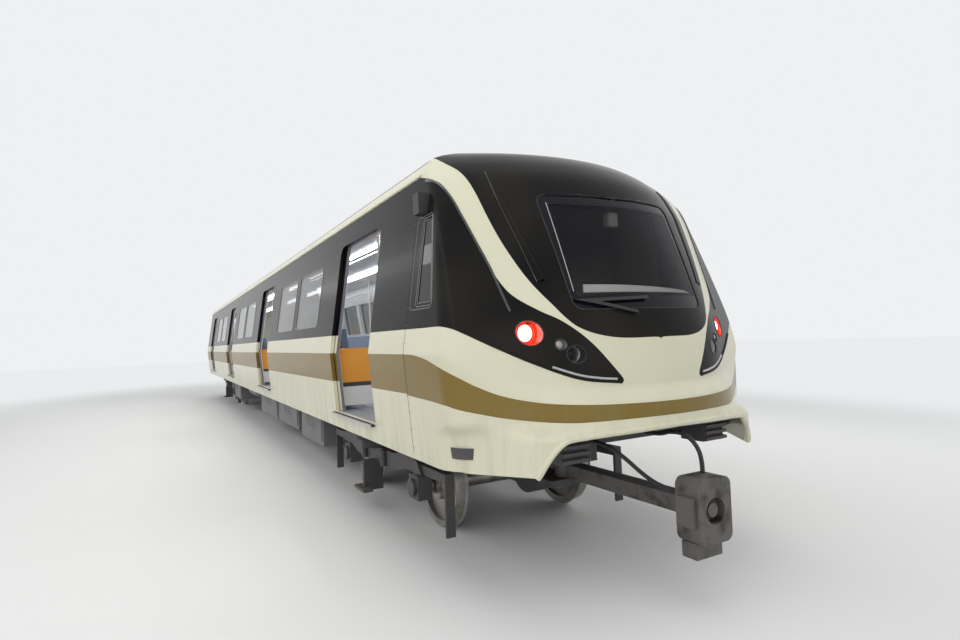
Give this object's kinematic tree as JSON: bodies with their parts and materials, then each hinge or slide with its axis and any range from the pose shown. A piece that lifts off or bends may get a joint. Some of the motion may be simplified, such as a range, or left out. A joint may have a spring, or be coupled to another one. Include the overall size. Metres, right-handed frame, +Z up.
{
  "type": "metro train cab car",
  "caption": "Cab-end car of a metro train with a raked black mask, sliding plug-free pocket doors, open gangway, bogies and front coupler.",
  "frame": {"origin": "on the floor under the middle of the car's length, at the tips of the wheel flanges", "axes": "+X towards the cab, +Y to the left of a driver who faces forward, away from the platform, +Z up"},
  "size_m": [23.4, 3.108, 3.7199],
  "materials": {
    "body_paint": "gloss cream paint with black and gold-brown bands",
    "black_paint": "gloss black paint",
    "gold_paint": "satin gold-brown metallic paint",
    "roof_paint": "matt dark grey roof coating",
    "frame_paint": "dark grey chassis paint",
    "case_paint": "grey equipment paint",
    "lining_panel": "white saloon lining",
    "floor_cover": "grey speckled floor covering",
    "seat_shell": "bluish seat shells",
    "screen_panel": "orange and white draught screens",
    "window_glass": "tinted safety glass",
    "lamp_glass": "clear and red lamp lenses",
    "bright_steel": "brushed stainless steel",
    "wheel_steel": "worn wheel steel",
    "cast_coupler": "grey cast coupler",
    "bellows_rubber": "pleated rubber fabric",
    "hose_rubber": "black corrugated hose",
    "spring_rubber": "black air spring rubber",
    "seat_fabric": "dark driver's seat cloth",
    "black_plastic": "black moulded plastic",
    "desk_plastic": "dark grey moulded console"
  },
  "bodies": {
    "car_body": {"side_wall_right": "body_paint", "side_wall_left": "body_paint", "roof_shell": "roof_paint", "cooling_units": "roof_paint", "end_wall": "body_paint", "gangway_bellows": "bellows_rubber", "floor": "frame_paint", "underfloor_equipment": "case_paint", "lining": "lining_panel", "saloon_windows": "window_glass", "door_sills": "bright_steel", "mask_hood": "black_paint", "mask_wings": "black_paint", "mask_band": "body_paint", "mask_belt": "gold_paint", "mask_skirt": "body_paint", "windscreen": "window_glass", "cab_windows": "window_glass", "cab_bulkhead": "lining_panel", "cab_desk": "desk_plastic", "cab_seat": "seat_fabric", "seats": "seat_shell", "draught_screens": "screen_panel", "grab_poles": "bright_steel", "marker_lamps": "lamp_glass", "side_cameras": "black_plastic", "wiper": "black_plastic", "anticlimbers": "frame_paint", "rear_drawbar": "cast_coupler"},
    "cab_door": {"cab_door": "lining_panel"},
    "coupler": {"coupler_shank": "cast_coupler", "coupler_head": "cast_coupler", "brake_hose_right": "hose_rubber", "brake_hose_left": "hose_rubber"},
    "bogie_front": {"bogie_front_frame": "frame_paint", "bogie_front_air_springs": "spring_rubber", "bogie_front_drives": "case_paint"},
    "wheelset_front_leading": {"wheelset_front_leading": "wheel_steel"},
    "wheelset_front_trailing": {"wheelset_front_trailing": "wheel_steel"},
    "bogie_rear": {"bogie_rear_frame": "frame_paint", "bogie_rear_air_springs": "spring_rubber", "bogie_rear_drives": "case_paint"},
    "wheelset_rear_leading": {"wheelset_rear_leading": "wheel_steel"},
    "wheelset_rear_trailing": {"wheelset_rear_trailing": "wheel_steel"},
    "door_right_1_front": {"door_right_1_front": "body_paint"},
    "door_right_1_rear": {"door_right_1_rear": "body_paint"},
    "door_right_2_front": {"door_right_2_front": "body_paint"},
    "door_right_2_rear": {"door_right_2_rear": "body_paint"},
    "door_right_3_front": {"door_right_3_front": "body_paint"},
    "door_right_3_rear": {"door_right_3_rear": "body_paint"},
    "door_right_4_front": {"door_right_4_front": "body_paint"},
    "door_right_4_rear": {"door_right_4_rear": "body_paint"},
    "door_left_1_front": {"door_left_1_front": "body_paint"},
    "door_left_1_rear": {"door_left_1_rear": "body_paint"},
    "door_left_2_front": {"door_left_2_front": "body_paint"},
    "door_left_2_rear": {"door_left_2_rear": "body_paint"},
    "door_left_3_front": {"door_left_3_front": "body_paint"},
    "door_left_3_rear": {"door_left_3_rear": "body_paint"},
    "door_left_4_front": {"door_left_4_front": "body_paint"},
    "door_left_4_rear": {"door_left_4_rear": "body_paint"}
  },
  "joints": [
    {"name": "cab_door_hinge", "type": "hinge", "parent": "car_body", "child": "cab_door", "pos_m": [9.286, 0.53, 2.08], "axis": [0, 0, 1], "range_deg": [-85, 0]},
    {"name": "coupler_swing", "type": "hinge", "parent": "car_body", "child": "coupler", "pos_m": [10.05, 0, 0.676], "axis": [0, 0, 1], "range_deg": [-15, 15], "deforming": ["brake_hose_right", "brake_hose_left"]},
    {"name": "bogie_front_turn", "type": "hinge", "parent": "car_body", "child": "bogie_front", "pos_m": [7.8, 0, 0.6], "axis": [0, 0, 1], "range_deg": [-4, 4]},
    {"name": "wheelset_front_leading_spin", "type": "hinge", "parent": "bogie_front", "child": "wheelset_front_leading", "pos_m": [8.95, 0, 0.448], "axis": [0, 1, 0], "continuous": true},
    {"name": "wheelset_front_trailing_spin", "type": "hinge", "parent": "bogie_front", "child": "wheelset_front_trailing", "pos_m": [6.65, 0, 0.448], "axis": [0, 1, 0], "continuous": true},
    {"name": "bogie_rear_turn", "type": "hinge", "parent": "car_body", "child": "bogie_rear", "pos_m": [-7.8, 0, 0.6], "axis": [0, 0, 1], "range_deg": [-4, 4]},
    {"name": "wheelset_rear_leading_spin", "type": "hinge", "parent": "bogie_rear", "child": "wheelset_rear_leading", "pos_m": [-6.65, 0, 0.448], "axis": [0, 1, 0], "continuous": true},
    {"name": "wheelset_rear_trailing_spin", "type": "hinge", "parent": "bogie_rear", "child": "wheelset_rear_trailing", "pos_m": [-8.95, 0, 0.448], "axis": [0, 1, 0], "continuous": true},
    {"name": "door_right_1_front_slide", "type": "slide", "parent": "car_body", "child": "door_right_1_front", "axis": [1, 0, 0], "range_m": [-0.6, 0]},
    {"name": "door_right_1_rear_slide", "type": "slide", "parent": "car_body", "child": "door_right_1_rear", "axis": [1, 0, 0], "range_m": [0, 0.6]},
    {"name": "door_right_2_front_slide", "type": "slide", "parent": "car_body", "child": "door_right_2_front", "axis": [1, 0, 0], "range_m": [-0.6, 0]},
    {"name": "door_right_2_rear_slide", "type": "slide", "parent": "car_body", "child": "door_right_2_rear", "axis": [1, 0, 0], "range_m": [0, 0.6]},
    {"name": "door_right_3_front_slide", "type": "slide", "parent": "car_body", "child": "door_right_3_front", "axis": [1, 0, 0], "range_m": [-0.6, 0]},
    {"name": "door_right_3_rear_slide", "type": "slide", "parent": "car_body", "child": "door_right_3_rear", "axis": [1, 0, 0], "range_m": [0, 0.6]},
    {"name": "door_right_4_front_slide", "type": "slide", "parent": "car_body", "child": "door_right_4_front", "axis": [1, 0, 0], "range_m": [-0.6, 0]},
    {"name": "door_right_4_rear_slide", "type": "slide", "parent": "car_body", "child": "door_right_4_rear", "axis": [1, 0, 0], "range_m": [0, 0.6]},
    {"name": "door_left_1_front_slide", "type": "slide", "parent": "car_body", "child": "door_left_1_front", "axis": [1, 0, 0], "range_m": [0, 0.6]},
    {"name": "door_left_1_rear_slide", "type": "slide", "parent": "car_body", "child": "door_left_1_rear", "axis": [1, 0, 0], "range_m": [-0.6, 0]},
    {"name": "door_left_2_front_slide", "type": "slide", "parent": "car_body", "child": "door_left_2_front", "axis": [1, 0, 0], "range_m": [0, 0.6]},
    {"name": "door_left_2_rear_slide", "type": "slide", "parent": "car_body", "child": "door_left_2_rear", "axis": [1, 0, 0], "range_m": [-0.6, 0]},
    {"name": "door_left_3_front_slide", "type": "slide", "parent": "car_body", "child": "door_left_3_front", "axis": [1, 0, 0], "range_m": [0, 0.6]},
    {"name": "door_left_3_rear_slide", "type": "slide", "parent": "car_body", "child": "door_left_3_rear", "axis": [1, 0, 0], "range_m": [-0.6, 0]},
    {"name": "door_left_4_front_slide", "type": "slide", "parent": "car_body", "child": "door_left_4_front", "axis": [1, 0, 0], "range_m": [0, 0.6]},
    {"name": "door_left_4_rear_slide", "type": "slide", "parent": "car_body", "child": "door_left_4_rear", "axis": [1, 0, 0], "range_m": [-0.6, 0]}
  ],
  "couplings": [
    {"joint": "door_right_1_rear_slide", "follows": "door_right_1_front_slide", "ratio": -1},
    {"joint": "door_right_2_rear_slide", "follows": "door_right_2_front_slide", "ratio": -1},
    {"joint": "door_right_3_rear_slide", "follows": "door_right_3_front_slide", "ratio": -1},
    {"joint": "door_right_4_rear_slide", "follows": "door_right_4_front_slide", "ratio": -1},
    {"joint": "door_left_1_rear_slide", "follows": "door_left_1_front_slide", "ratio": -1},
    {"joint": "door_left_2_rear_slide", "follows": "door_left_2_front_slide", "ratio": -1},
    {"joint": "door_left_3_rear_slide", "follows": "door_left_3_front_slide", "ratio": -1},
    {"joint": "door_left_4_rear_slide", "follows": "door_left_4_front_slide", "ratio": -1}
  ]
}
